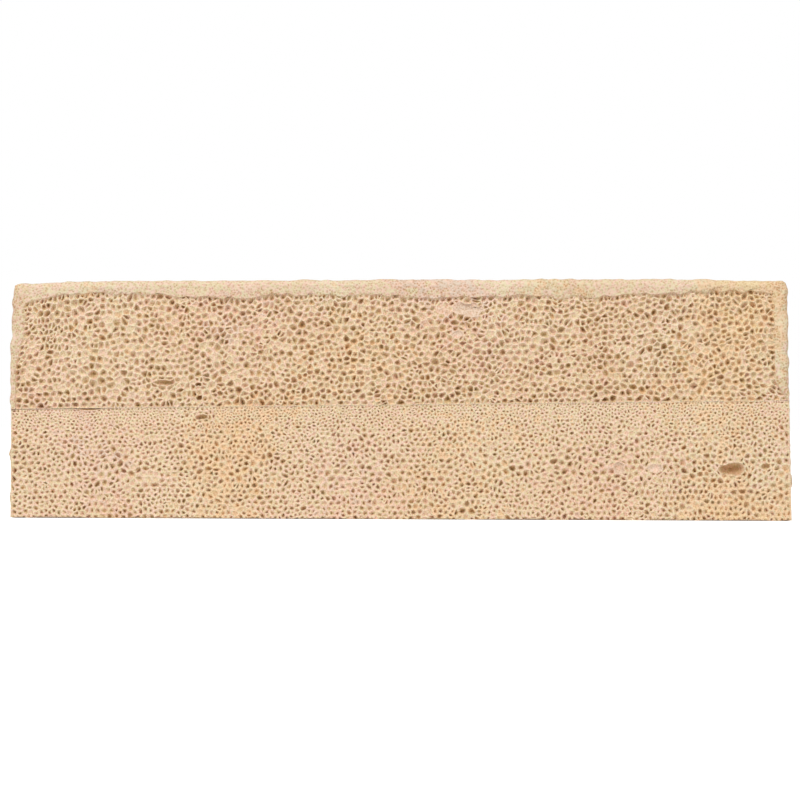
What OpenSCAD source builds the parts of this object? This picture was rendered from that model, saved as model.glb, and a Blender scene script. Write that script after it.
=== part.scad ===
// A dry cleaning sponge of blown natural rubber, in two layers that are bonded face to face.
// The coarse layer on top keeps its moulded skin over the top, the two ends and the rolled
// edges between them. Its long faces were cut after moulding, so the skin ends there in a lip,
// and the knife has opened the cells. The fine layer below is cut on every side.
// X runs along the length, the face with the voids looks along -Y, and the sponge rests on Z = 0.

/* [Block] */
// Length over the foot of the fine layer
length = 152; // [110:1:200]
// Depth from lip to lip
depth = 76; // [50:1:120]
// Height of the top face at the left end
height_left = 45.9; // [41:0.1:60]
// Height of the top face at the right end
height_right = 47; // [41:0.1:60]
// How far the left end leans in from the foot to the top
lean_left = 0.1; // [0:0.1:2]
// How far the right end leans in from the foot to the top
lean_right = 0.6; // [0:0.1:2]

/* [Layers] */
// Height of the bond between the layers at the left end
bond_left = 21.1; // [16:0.1:26]
// Height of the bond at the right end
bond_right = 23.4; // [16:0.1:26]

/* [Skin] */
// Radius of the roll of skin along the top edges and the upper ends
skin_roll = 2; // [1:0.1:5]
// How far the lip of the skin stands proud of the cut faces
lip = 0.3; // [0.1:0.1:1]
// Width of the band of skin left on the right of the cut face
skin_right = 2.5; // [1.5:0.1:5]
// Width of the band of skin left on the left, near the top
skin_left = 2.3; // [1.5:0.1:5]
// Width of the worn band on the left, near the bond
skin_worn = 0.8; // [0.3:0.1:3]
// Height over the bond at which the worn band begins
worn_height = 12; // [6:0.5:16]

/* [Open cells] */
// Radius of a large cell in the coarse layer
coarse_cell = 0.95; // [0.6:0.05:1.2]
// Distance between large cells in the coarse layer
coarse_pitch = 3.4; // [3:0.1:6]
// Radius of a large cell in the fine layer
fine_cell = 0.6; // [0.5:0.05:0.9]
// Distance between large cells in the fine layer
fine_pitch = 3; // [2.6:0.1:6]
// Distance between large cells on the cut faces at the back and the ends
far_pitch = 5.6; // [3.4:0.1:8]
// Share by which a cell's radius varies
cell_spread = 0.2; // [0:0.05:0.25]
// How far a cell strays from its place
cell_stray = 0.3; // [0:0.05:0.35]
// Height of the part of each bubble that the knife took away
cell_cap = 0.42; // [0.1:0.02:0.45]

/* [Voids] */
// Distance of the large void from the right end
void_from_end = 11.6; // [8:0.1:40]
// Height of the large void
void_height = 9.8; // [4:0.1:12]
// Radius of the bubbles that ran together in the large void
void_bubble = 1.8; // [1:0.1:2.4]
// Distance of the small void from the right end
small_void_from_end = 5.2; // [3:0.1:7]
// Radius of the small void's bubble
small_void_bubble = 1; // [0.5:0.1:1.2]
// Distance of the slit void from the left end
slit_from_end = 37.2; // [20:0.1:50]
// Depth of the slit void below the bond
slit_drop = 2; // [1.5:0.1:6]
// Length of the slit void
slit_length = 2.3; // [1.5:0.1:5]
// Height of the slit void
slit_height = 0.85; // [0.4:0.05:1.4]
// Depth of the slit void behind the cut face
slit_depth = 2; // [0.5:0.1:5]
// Distance of the long pit in the coarse layer from the left end
pit_from_end = 29.4; // [15:0.1:50]
// Height of the long pit over the bond
pit_rise = 4.8; // [2:0.1:8]
// Length of the long pit
pit_length = 3.5; // [1.5:0.1:6]
// Height of the long pit
pit_height = 0.8; // [0.4:0.05:1.4]
// Depth of the long pit behind the cut face
pit_depth = 1; // [0.5:0.1:4]

/* [Torn pocket] */
// Distance of the smooth pocket under the lip from the right end
pocket_from_end = 64.6; // [40:0.1:90]
// Distance of the middle of the pocket below the top face
pocket_drop = 5.7; // [4.5:0.1:9]
// Length of the pocket
pocket_length = 7.8; // [3:0.1:15]
// Height of the pocket
pocket_height = 2.8; // [1:0.1:5]
// Depth of the pocket behind the cut face
pocket_depth = 0.7; // [0.2:0.1:2]

/* [Open bond] */
// Length over which the bond has opened at the left end
gap_length = 17.5; // [6:0.5:30]
// Height of the opened bond
gap_height = 0.28; // [0.1:0.02:0.5]
// Height of the opened bond at its wide inner end
gap_mouth = 0.6; // [0.3:0.02:1]
// How deep the opened bond runs in from the front
gap_depth = 4; // [1:0.5:10]

/* [Hidden] */
$fn = 24;

half = length / 2;
cut_y = depth / 2 - lip;
top_height = max(height_left, height_right);
roll_steps = 8;
// Distance between two rows of cells that lie in each other's gaps, as a share of the pitch
row_share = 0.87;
// Distance between bubbles that ran together, and the rise of every other one, per radius
bubble_step = 1.2;
bubble_rise = 0.12;
// Where the opened bond begins to widen, and where it is widest, as shares of its length
gap_thin_to = 0.7;
gap_wide = [0.8, 0.95];
// How far the cut of the opened bond reaches up past the bond
gap_over = 0.1;
// Clear distance between a cell's place and the edge of its face
cell_margin = 1.5;
// Least wall of rubber between a cell and a void
void_wall = 0.4;
// The lower edge of the skin band over the cut face, as [share of the length, drop from the top]
SKIN_EDGE = [
    [0.03, 2.3], [0.12, 2.3], [0.19, 2.5], [0.23, 3.2], [0.29, 3.4], [0.33, 2.7], [0.45, 2.7],
    [0.53, 3.3], [0.60, 3.2], [0.74, 3.3], [0.80, 2.9], [0.88, 2.2], [0.94, 2.1], [0.97, 2.2]
];
// The rows of cells in the coarse layer stop this far below the top, clear of the lowest skin
coarse_cells_drop = 4.8;
top_tilt = atan((height_right - height_left) / length);

// Height of the top face, and of the bond, over a point at x
function top_at(x) = height_left + (height_right - height_left) * (x + half) / length;
function bond_at(x) = bond_left + (bond_right - bond_left) * (x + half) / length;

// Where the two ends stand at a height z
function left_at(z) = -half + lean_left * z / top_height;
function right_at(z) = half - lean_right * z / top_height;

// Points on an arc about centre c, from angle a0 to a1
function arc(c, r, a0, a1) = [
    for (i = [0:roll_steps]) c + r * [cos(a0 + (a1 - a0) * i / roll_steps), sin(a0 + (a1 - a0) * i / roll_steps)]
];

// A rectangle that is w wide about x = 0 and reaches down from y = top, with rolled top corners
module rolled_section(w, top, r) {
    polygon(concat(
        [[-w / 2, 0], [w / 2, 0]],
        arc([w / 2 - r, top - r], r, 0, 90),
        arc([-w / 2 + r, top - r], r, 90, 180)
    ));
}

// Extrudes a section drawn in x and height over the given length along Y
module along_y(size) {
    rotate([90, 0, 0]) linear_extrude(height = size, center = true) children();
}

// Extrudes a section drawn in y and height over the given length along X
module along_x(size) {
    rotate([90, 0, 90]) linear_extrude(height = size, center = true) children();
}

// The voids in the front of each layer, as [x, z, half length, half height]
function coarse_voids() = [
    [-half + pit_from_end, bond_at(-half + pit_from_end) + pit_rise, pit_length / 2, pit_height / 2],
    [half - pocket_from_end, top_at(half - pocket_from_end) - pocket_drop, pocket_length / 2, pocket_height / 2]
];
function fine_voids() = [
    [half - void_from_end, void_height, void_bubble * (1 + bubble_step / 2), void_bubble * (1 + bubble_rise)],
    [half - small_void_from_end, void_height, small_void_bubble, small_void_bubble],
    [-half + slit_from_end, bond_at(-half + slit_from_end) - slit_drop, slit_length / 2, slit_height / 2]
];

// Whether a cell of radius r about x and z leaves a wall between itself and every void
function clear_of(voids, x, z, r) = len([
    for (v = voids) if (abs(x - v[0]) < v[2] + r + void_wall && abs(z - v[1]) < v[3] + r + void_wall) v
]) == 0;

// Spheres with their mouths in the plane y = 0, over a strip from x0 to x1 whose lower and upper
// edges run straight between the heights at its two ends. None is cut where it would meet a void.
module open_cells(x0, x1, low, high, pitch, radius, seed, voids) {
    cols = floor((x1 - x0) / pitch);
    rows = floor(min(high[0] - low[0], high[1] - low[1]) / (pitch * row_share));
    for (row = [0:1:rows - 1]) {
        luck = rands(-1, 1, 3 * cols, seed + row);
        for (col = [0:1:cols - 1]) {
            place = (col + 0.5 + (row % 2 - 0.5) / 2) / cols;
            low_here = low[0] + (low[1] - low[0]) * place;
            high_here = high[0] + (high[1] - high[0]) * place;
            r = radius * (1 + cell_spread * luck[3 * col + 2]);
            x = x0 + (x1 - x0) * place + cell_stray * luck[3 * col];
            z = low_here + (high_here - low_here) * (row + 0.5) / rows + cell_stray * luck[3 * col + 1];
            if (clear_of(voids, x, z, r)) translate([x, r - cell_cap, z]) sphere(r = r);
        }
    }
}

// Bubbles that ran together in a line along X, with their mouths in the plane y = 0
module run_together(count, radius) {
    for (i = [0:count - 1])
        translate([
            (i - (count - 1) / 2) * bubble_step * radius,
            radius - cell_cap,
            (i % 2) * bubble_rise * radius
        ])
            sphere(r = radius);
}

// Places what lies in the plane y = 0, and is open to -Y, on the cut face at the front
module on_front() {
    translate([0, -cut_y, 0]) children();
}

module on_back() {
    mirror([0, 1, 0]) on_front() children();
}

// Places it on an end that leans in: side is 1 at the right end and -1 at the left
module on_end(side, lean) {
    translate([side * half, 0, 0]) rotate([0, -side * atan(lean / top_height), 0]) rotate([0, 0, side * 90])
        children();
}

// The region above the bond, drawn over the whole depth, or below it
module side_of_bond(above) {
    far = above ? 2 * top_height : -top_height;
    along_y(2 * depth) polygon([
        [-length, bond_at(-length)], [length, bond_at(length)], [length, far], [-length, far]
    ]);
}

// The outline of the coarse layer's cut face, up to the edge of the skin that is left around it
module cut_outline() {
    worn_top = bond_left + worn_height;
    left_edge = left_at(bond_left);
    right_edge = right_at(bond_right) - skin_right;
    polygon(concat(
        [
            [right_edge, 0],
            [left_edge + skin_worn, 0],
            [left_edge + skin_worn, worn_top],
            [left_edge + skin_left, worn_top + skin_left]
        ],
        [for (p = SKIN_EDGE) [
            min(max(-half + p[0] * length, left_edge + skin_left), right_edge),
            top_at(-half + p[0] * length) - p[1]
        ]]
    ));
}

// The step that the knife left: everything in front of the cut face and inside the skin's edge
module knife_cut() {
    translate([0, -depth / 2, 0]) along_y(2 * lip) cut_outline();
}

module coarse_blank() {
    top_left = left_at(height_left);
    top_right = right_at(height_right);
    intersection() {
        translate([0, 0, top_at(0)]) rotate([0, -top_tilt, 0]) translate([0, 0, -top_height])
            along_x(2 * length) rolled_section(depth, top_height, skin_roll);
        along_y(depth) polygon(concat(
            [[left_at(0), 0], [right_at(0), 0]],
            arc([top_right - skin_roll, height_right - skin_roll], skin_roll, 0, 90 + top_tilt),
            arc([top_left + skin_roll, height_left - skin_roll], skin_roll, 90 + top_tilt, 180)
        ));
        linear_extrude(height = 2 * top_height) rolled_plan();
        side_of_bond(true);
    }
}

// The plan of the coarse layer at the bond, with its four upright edges rolled
module rolled_plan() {
    left = left_at(bond_left) + skin_roll;
    right = right_at(bond_right) - skin_roll;
    back = depth / 2 - skin_roll;
    polygon(concat(
        arc([right, back], skin_roll, 0, 90),
        arc([left, back], skin_roll, 90, 180),
        arc([left, -back], skin_roll, 180, 270),
        arc([right, -back], skin_roll, 270, 360)
    ));
}

module fine_blank() {
    intersection() {
        along_y(2 * cut_y) polygon([
            [left_at(0), 0],
            [right_at(0), 0],
            [right_at(top_height), top_height],
            [left_at(top_height), top_height]
        ]);
        side_of_bond(false);
    }
}

// The cells that the knife opened in a long face of the coarse layer
module coarse_cells(pitch, seed, voids) {
    left = left_at(bond_left) + skin_left + cell_margin;
    right = right_at(bond_right) - skin_right - cell_margin;
    low = [bond_left + cell_margin, bond_right + cell_margin];
    high = [height_left - coarse_cells_drop, height_right - coarse_cells_drop];
    open_cells(left, right, low, high, pitch, coarse_cell, seed, voids);
}

// The same in a cut face of the fine layer that runs from left to right, with the bond's height at each
module fine_cells(left, right, bond_heights, pitch, seed, voids) {
    low = [cell_margin, cell_margin];
    high = [bond_heights[0] - cell_margin, bond_heights[1] - cell_margin];
    open_cells(left + cell_margin, right - cell_margin, low, high, pitch, fine_cell, seed, voids);
}

// A slot with round ends, over the place of one void, that runs in from the plane y = 0
module slot(void, slot_depth) {
    straight = 2 * (void[2] - void[3]);
    translate([void[0], 0, void[1]]) along_y(2 * slot_depth) union() {
        square([straight, 2 * void[3]], center = true);
        for (side = [-1, 1]) translate([side * straight / 2, 0]) circle(r = void[3]);
    }
}

// A point along the opened bond, at a share of its length and a height over the bond
function gap_point(share, rise) = [
    -half + share * gap_length,
    bond_at(-half + share * gap_length) + rise
];

// The thin gap where the bond has opened at the left end of the front
module open_bond() {
    along_y(2 * gap_depth) polygon([
        gap_point(0, -gap_height),
        gap_point(gap_thin_to, -gap_height),
        gap_point(gap_wide[0], -gap_mouth),
        gap_point(gap_wide[1], -gap_mouth),
        gap_point(1, gap_over),
        gap_point(0, gap_over)
    ]);
}

module coarse_layer() {
    voids = coarse_voids();
    color("burlywood") difference() {
        coarse_blank();
        knife_cut();
        mirror([0, 1, 0]) knife_cut();
        on_front() coarse_cells(coarse_pitch, 11, voids);
        on_back() coarse_cells(far_pitch, 211, []);
        on_front() slot(voids[0], pit_depth);
        on_front() slot(voids[1], pocket_depth);
    }
}

module fine_layer() {
    voids = fine_voids();
    left = left_at(bond_left);
    right = right_at(bond_right);
    color("wheat") difference() {
        fine_blank();
        on_front() fine_cells(left, right, [bond_left, bond_right], fine_pitch, 411, voids);
        on_back() fine_cells(left, right, [bond_left, bond_right], far_pitch, 611, []);
        on_end(1, lean_right) fine_cells(-cut_y, cut_y, [bond_right, bond_right], far_pitch, 811, []);
        on_end(-1, lean_left) fine_cells(-cut_y, cut_y, [bond_left, bond_left], far_pitch, 911, []);
        on_front() translate([voids[0][0], 0, voids[0][1]]) run_together(2, void_bubble);
        on_front() translate([voids[1][0], 0, voids[1][1]]) run_together(1, small_void_bubble);
        on_front() slot(voids[2], slit_depth);
        on_front() open_bond();
    }
}

coarse_layer();
fine_layer();
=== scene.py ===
# %% [markdown]
# A dry cleaning sponge is a block of blown natural rubber that lifts soot and dust from paper and walls.
# This one is made of two layers, bonded face to face: a coarse one on top, which keeps the skin of its
# mould on its top and its ends, and a finer one below, which was cut on every side. Seen from an arm's
# length it is all texture: thousands of opened bubbles, each with its own wall, depth and shade.
# A bump map on a box would look painted on, because the holes cast no shadow on each other. So this lesson
# builds the net of cells as real geometry, and leaves to the materials what is finer than a cell, and the
# painted shade that deepens each pit.

# %% Load the frame
import math

import bmesh
import bpy
import numpy as np
from mathutils import Matrix, Vector, geometry, noise


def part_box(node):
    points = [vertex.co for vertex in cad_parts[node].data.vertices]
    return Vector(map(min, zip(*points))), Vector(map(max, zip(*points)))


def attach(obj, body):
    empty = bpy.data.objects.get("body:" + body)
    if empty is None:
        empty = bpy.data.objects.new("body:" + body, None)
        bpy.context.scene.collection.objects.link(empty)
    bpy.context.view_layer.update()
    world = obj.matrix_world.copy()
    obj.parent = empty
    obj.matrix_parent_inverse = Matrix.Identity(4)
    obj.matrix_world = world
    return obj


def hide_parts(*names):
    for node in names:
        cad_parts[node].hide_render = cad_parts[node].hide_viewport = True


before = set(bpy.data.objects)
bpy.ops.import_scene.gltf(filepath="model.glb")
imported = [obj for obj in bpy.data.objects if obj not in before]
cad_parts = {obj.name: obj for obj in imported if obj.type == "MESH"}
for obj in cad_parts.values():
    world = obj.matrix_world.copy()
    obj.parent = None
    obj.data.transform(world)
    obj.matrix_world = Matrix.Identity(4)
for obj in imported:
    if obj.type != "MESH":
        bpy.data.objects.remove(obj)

scene = bpy.context.scene
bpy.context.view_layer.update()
MM = 0.001

# %% [markdown]
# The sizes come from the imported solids, so that the dressed sponge is exactly as large as they are.
# Two straight lines carry most of the form: the bond between the layers and the top face. Both rise a
# little to the right, because the block was cut by hand. It is easiest to write them as functions of x,
# and to let every later step ask them, in millimetres.

# %% Sizes of the block
coarse_low, coarse_high = (np.array(corner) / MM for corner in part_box("coarse_layer"))
fine_high = np.array(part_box("fine_layer")[1]) / MM
half_foot = fine_high[0]
half_depth = coarse_high[1]
cut_y = fine_high[1]
bond_left = coarse_low[2]
bond_right = fine_high[2]
top_right = coarse_high[2]
top_fall = 1.1
crown = 0.2
end_fall = 0.45
left_lean = 0.1
left_nod = 0.4
right_lean = 1.2
# The ends of the top and the head of the left end curve over late: a high power of the way there
late = 8


def bond_at(x):
    return bond_left + (bond_right - bond_left) * (x + half_foot) / (2 * half_foot)


def top_at(x):
    share = x / half_foot
    return top_right - top_fall * (1 - share) / 2 + crown * (1 - share * share) - end_fall * share ** late


def end_at(side, z):
    """Where the left end (side -1) or the right end (side 1) stands at a height: each leans in a little."""
    if side > 0:
        return half_foot - right_lean * z / top_right
    return -half_foot + left_lean * z / top_right + left_nod * (z / top_right) ** late


print(f"block {2 * half_foot:.1f} x {2 * half_depth:.1f} x {top_right:.1f} mm")
print(f"bond {bond_left:.1f} to {bond_right:.1f} mm high")

# %% [markdown]
# Nothing in foam is straight or even. Perlin noise gives an unevenness that is smooth, repeats each run
# and can be asked for at any point in space, so two surfaces that meet agree about it. A value of about
# one at most comes back, whatever the width of the swells.

# %% Unevenness


def wander(x, y, z, swell, seed):
    """Smooth noise between -1 and 1 with swells about so many millimetres wide."""
    return noise.noise(Vector((x / swell + 7.31 * seed, y / swell + 3.7, z / swell - 5.13 * seed)))


def ease(low, high, value):
    """0 below low, 1 above high, and a smooth step between."""
    share = min(max((value - low) / (high - low), 0.0), 1.0)
    return share * share * (3 - 2 * share)


def blend(a, b, share):
    return a + (b - a) * share


def read_off(table, at):
    """The value at a place between the rows of a table of (place, value)."""
    places, values = zip(*table)
    return float(np.interp(at, places, values))


print("noise along the front, each 2 mm:", [round(wander(x, -38, 20, 4.5, 1), 2) for x in range(0, 12, 2)])


# %% [markdown]
# A layer is one closed mesh. It is put together from patches: nets of cells, strips of skin and flat caps.
# Each patch hands its border on as a row of vertex numbers, and the next patch grows from that same row,
# so no seam has to be welded afterwards. Two rows with different spacing are closed like a zip: at each
# step the side that lags behind moves on by one vertex. Every vertex carries two numbers that the materials
# read: how much painted shade it gets, which grows with how deep it lies in a pit, and the tint of its cell.
# Every face has a finish: 0 is the foam, 1 the skin and 2 the skin's torn ledge, which looks like skin.
# Where two finishes meet, the edge is sharp.

# %% A mesh that grows patch by patch


class Layer:
    def __init__(self):
        self.points = []
        self.pit = []
        self.tone = []
        self.faces = []
        self.finish = []

    def point(self, place, pit=0.0, tone=0.5):
        self.points.append(place)
        self.pit.append(pit)
        self.tone.append(tone)
        return len(self.points) - 1

    def face(self, corners, finish=0):
        self.faces.append(corners)
        self.finish.append(finish)

    def zip_up(self, row, other, finish=0):
        """Closes the gap between two rows of (how far along, vertex)."""
        i = 0
        j = 0
        while i < len(row) - 1 or j < len(other) - 1:
            row_moves = j == len(other) - 1 or (i < len(row) - 1 and row[i + 1][0] <= other[j + 1][0])
            if row_moves:
                self.face((row[i][1], row[i + 1][1], other[j][1]), finish)
                i += 1
            else:
                self.face((row[i][1], other[j + 1][1], other[j][1]), finish)
                j += 1

    def cap(self, loop, finish=0):
        """Fills a closed loop of vertices that lies nearly flat, seen from above."""
        flat = [Vector(self.points[index][:2]) for index in loop]
        ring = [(k, (k + 1) % len(loop)) for k in range(len(loop))]
        found = geometry.delaunay_2d_cdt(flat, ring, [], 1, 1e-6)
        origin = [sources[0] for sources in found[3]]
        for corners in found[2]:
            self.face(tuple(loop[origin[corner]] for corner in corners), finish)

    def triangles(self):
        return sum(len(corners) - 2 for corners in self.faces)


strip = Layer()
low_row = [(share, strip.point((share, 0, 0))) for share in (0.0, 0.5, 1.0)]
high_row = [(share, strip.point((share, 1, 0))) for share in (0.0, 0.2, 0.4, 0.7, 1.0)]
strip.zip_up(low_row, high_row)
print("three points zipped to five:", strip.triangles(), "triangles")


# %% [markdown]
# Bubbles that press on each other leave walls half way between their middles: that is a Voronoi pattern.
# Blender's own Delaunay triangulation gives it for free, because the corners of the cells are the centres
# of the circles round its triangles. At the border of a face the pattern has to stop on a clean line.
# Clipping polygons is fiddly, so the middles near the border are mirrored across it instead: the wall
# between a bubble and its mirror image is the border itself.

# %% Mirror images and triangles


def mirrored(sites, axis, line):
    copy = sites.copy()
    copy[:, axis] = 2 * line - copy[:, axis]
    return copy


def with_mirrors(sites, width, height, reach=5.0):
    for axis, far in ((0, width), (1, height)):
        low = mirrored(sites[sites[:, axis] < reach], axis, 0.0)
        high = mirrored(sites[sites[:, axis] > far - reach], axis, far)
        sites = np.vstack([sites, low, high])
    return sites


def triangulate(sites, width, height):
    """The sites with their mirror images, and the triangles between them."""
    every = with_mirrors(sites, width, height)
    found = geometry.delaunay_2d_cdt([Vector(site) for site in every], [], [], 0, 1e-9)
    origin = np.array([sources[0] for sources in found[3]])
    return every, origin[np.array([face[:] for face in found[2]])]


def circle_centres(a, b, c):
    """Centres of the circles through three points each, for whole arrays of triangles."""
    turn = 2 * (a[:, 0] * (b[:, 1] - c[:, 1]) + b[:, 0] * (c[:, 1] - a[:, 1]) + c[:, 0] * (a[:, 1] - b[:, 1]))
    aa = (a * a).sum(axis=1)
    bb = (b * b).sum(axis=1)
    cc = (c * c).sum(axis=1)
    u = (aa * (b[:, 1] - c[:, 1]) + bb * (c[:, 1] - a[:, 1]) + cc * (a[:, 1] - b[:, 1])) / turn
    v = (aa * (c[:, 0] - b[:, 0]) + bb * (a[:, 0] - c[:, 0]) + cc * (b[:, 0] - a[:, 0])) / turn
    return np.stack([u, v], axis=1)


print("one bubble near a corner and its mirror images:", len(with_mirrors(np.ones((1, 2)), 9.0, 9.0)))

# %% [markdown]
# Now the walls. The centres of two triangles that share a side are the two ends of a wall. Where such a
# wall would be shorter than the gap, its ends are made one node, because foam has no hair-thin walls and
# slivers shade badly. A void takes the inner walls out between the cells that belong to it.

# %% The pattern of the walls


def merge_close(centres, triangles, gap):
    """For each centre the number of its group: neighbours that lie within gap are one group."""
    group = list(range(len(centres)))

    def leader(k):
        while group[k] != k:
            group[k] = group[group[k]]
            k = group[k]
        return k

    owner = {}
    for k, corners in enumerate(triangles):
        for side in range(3):
            edge = tuple(sorted((corners[side], corners[(side + 1) % 3])))
            if edge not in owner:
                owner[edge] = k
            elif np.hypot(*(centres[k] - centres[owner[edge]])) < gap:
                group[leader(k)] = leader(owner[edge])
    return [leader(k) for k in range(len(centres))]


def unite(cells):
    """Joins the cells that share an owner, a void, into one: only its outer sides stay."""
    joined = [(ring, owner) for ring, owner in cells if owner is None]
    voids = {}
    for ring, owner in cells:
        if owner is not None:
            voids.setdefault(owner, set()).update(zip(ring, ring[1:] + ring[:1]))
    for owner, sides in voids.items():
        after = {a: b for a, b in sides if (b, a) not in sides}
        ring = [min(after)]
        while after[ring[-1]] != ring[0]:
            ring.append(after[ring[-1]])
        joined.append((ring, owner))
    return joined


def voronoi(sites, owners, width, height, gap):
    """Nodes of the walls, the cells as (ring of nodes, owner), and the nodes along each border."""
    every, triangles = triangulate(sites, width, height)
    centres = circle_centres(every[triangles[:, 0]], every[triangles[:, 1]], every[triangles[:, 2]])
    leaders = merge_close(centres, triangles.tolist(), gap)

    members = {}
    for k, leader in enumerate(leaders):
        members.setdefault(leader, []).append(k)
    rings = [[] for _ in range(len(sites))]
    for k, corners in enumerate(triangles):
        for corner in corners:
            if corner < len(sites):
                rings[corner].append(k)

    nodes = []
    number = {}
    tiny = 1e-4

    def node(leader):
        if leader not in number:
            group = centres[members[leader]]
            spot = group.mean(axis=0)
            for axis, far in ((0, width), (1, height)):
                if np.abs(group[:, axis]).min() < tiny:
                    spot[axis] = 0.0
                if np.abs(group[:, axis] - far).min() < tiny:
                    spot[axis] = far
            number[leader] = len(nodes)
            nodes.append(np.clip(spot, 0.0, (width, height)))
        return number[leader]

    cells = []
    for site, ring, owner in zip(sites, rings, owners):
        around = sorted(ring, key=lambda k: math.atan2(*(centres[k] - site)))
        ids = [node(leaders[k]) for k in around]
        ids = [a for a, b in zip(ids, ids[-1:] + ids[:-1]) if a != b]
        if len(set(ids)) > 2:
            cells.append((ids, owner))
    cells = unite(cells)
    nodes = np.array(nodes)
    used = sorted({index for ring, _ in cells for index in ring})
    borders = {}
    for name, axis, line in (("left", 0, 0.0), ("right", 0, width), ("bottom", 1, 0.0), ("top", 1, height)):
        along = 1 - axis
        on_line = [k for k in used if abs(nodes[k][axis] - line) < tiny]
        borders[name] = sorted(on_line, key=lambda k: nodes[k][along])
    return nodes, cells, borders


few = np.array([(2.0, 2.3), (7.6, 1.9), (5.1, 4.8), (2.2, 8.1), (8.0, 7.7)])
few_nodes, few_cells, _ = voronoi(few, [None] * len(few), 10.0, 10.0, 0.1)
print("five bubbles:", len(few_cells), "cells between", len(few_nodes), "nodes")


# %% [markdown]
# Where the bubbles sit decides how the foam looks. Pure chance gives clumps that no foam has, and a grid
# gives a mesh bag. Rows with a half step of offset, a good deal of stray, a few missing bubbles (their
# neighbours grow) and a few doubled ones (they shrink) come close to the real mix of large and small.
# The size of a cell is asked for row by row, so that it can shrink towards the skin and the bond.

# %% Where the bubbles sit


def triangle_areas(corners):
    a = corners[:, 1] - corners[:, 0]
    b = corners[:, 2] - corners[:, 0]
    return np.abs(a[:, 0] * b[:, 1] - a[:, 1] * b[:, 0]) / 2


def settle(sites, width, height, share):
    """Moves each middle some way to the middle of its own triangles, which rounds the cells off."""
    every, triangles = triangulate(sites, width, height)
    middles = every[triangles].mean(axis=1)
    areas = triangle_areas(every[triangles])
    total = np.zeros((len(every), 2))
    weight = np.zeros(len(every))
    for corner in range(3):
        np.add.at(total, triangles[:, corner], middles * areas[:, None])
        np.add.at(weight, triangles[:, corner], areas)
    count = len(sites)
    return sites + share * (total[:count] / weight[:count, None] - sites)


def scatter(width, height, size_at, missing, doubled, seed):
    """Middles of the bubbles in a field. size_at(v) gives a cell's width and height at the height v."""
    rng = np.random.default_rng(seed)
    rows = []
    v = 0.0
    while v < height:
        cell_w, cell_h = size_at(v)
        rows.append((v, cell_w, cell_h))
        v += cell_h
    fit = height / v
    stray = 0.42
    half_step = 0.25
    sway = 0.45
    sites = []
    for number, (v, cell_w, cell_h) in enumerate(rows):
        count = round(width / cell_w)
        step = width / count
        for k in range(count):
            if rng.random() < missing:
                continue
            offset = half_step if number % 2 else -half_step
            u = (k + 0.5 + offset + rng.uniform(-stray, stray)) * step
            wave = sway * cell_h * wander(u, v, 0, 7.0, seed)
            w = (v + cell_h * (0.5 + rng.uniform(-stray, stray)) + wave) * fit
            sites.append((u, w))
            if rng.random() < doubled:
                angle = rng.uniform(0, math.pi)
                sites.append((u + 0.5 * cell_w * math.cos(angle), w + 0.5 * cell_h * math.sin(angle)))
    edge = 0.22
    sites = np.clip(np.array(sites), (edge, edge), (width - edge, height - edge))
    for share in (0.5, 0.4):
        sites = settle(sites, width, height, share)
    return sites


print("bubbles of 1.2 mm on 20 x 20 mm:", len(scatter(20.0, 20.0, lambda v: (1.2, 1.2), 0.15, 0.22, 1)))

# %% [markdown]
# A void is a bubble that swallowed its neighbours. It could be cut out of the mesh later, but then its rim
# would slice through cells, which looks stamped. So room is made for it before the walls are drawn.

# %% Room for the voids


def carve(sites, voids, seed):
    """Clears each oval void, given as (u, v, half length, half height, ...), and rings it with middles in
    pairs, one inside and one outside its edge, so that a wall of the pattern runs along that edge."""
    rng = np.random.default_rng(seed)
    owners = [None] * len(sites)
    clear = 0.8
    pairs_per_mm = 3.9
    fewest = 7
    for number, (u0, v0, half_length, half_height, *_) in enumerate(voids):
        pair = min(0.42, 0.7 * half_height)
        far = np.hypot((sites[:, 0] - u0) / (half_length + clear), (sites[:, 1] - v0) / (half_height + clear))
        owners = [owner for owner, away in zip(owners, far) if away > 1]
        sites = sites[far > 1]
        count = max(fewest, round(pairs_per_mm * math.hypot(half_length, half_height)))
        ringed = []
        for k in range(count):
            angle = 2 * math.pi * (k + rng.uniform(-0.2, 0.2)) / count
            wobble = rng.uniform(0.78, 1.22)
            arch = 0.3 * max(0.0, half_length - 3 * half_height) * (0.5 - math.cos(angle) ** 2)
            spot = np.array([half_length * math.cos(angle), half_height * math.sin(angle) + arch]) * wobble
            out = np.array([math.cos(angle) / half_length, math.sin(angle) / half_height])
            out *= pair / np.hypot(*out)
            ringed += [spot - out, spot + out]
            owners += [number, None]
        sites = np.vstack([sites, np.array(ringed) + (u0, v0)])
    return sites, owners


ringed_sites, ringed_owners = carve(few, [(5.0, 5.0, 2.0, 1.0)], 1)
print("five bubbles and a void:", len(ringed_sites), "middles, in the void", ringed_owners.count(0))


# %% [markdown]
# No two bubbles are alike. Most are open to the one behind, some are still closed by a film, and others have
# thick walls and a small mouth. Each gets a darkness, which is painted shade in its pit. Few look very dark,
# so the darkness is drawn with a power that favours pale ones. The tint of the rubber drifts slowly over the
# block, and each cell also has a little of its own.

# %% What a bubble is like


def drift_at(x, y, z):
    """The slow drift of the tint, from 0, yellowish, to 1, greyish. It is yellower near the right end."""
    return min(max(0.55 + 0.6 * wander(x, y, z, 24.0, 19) - 0.2 * ease(52, 66, x), 0.0), 1.0)


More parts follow.
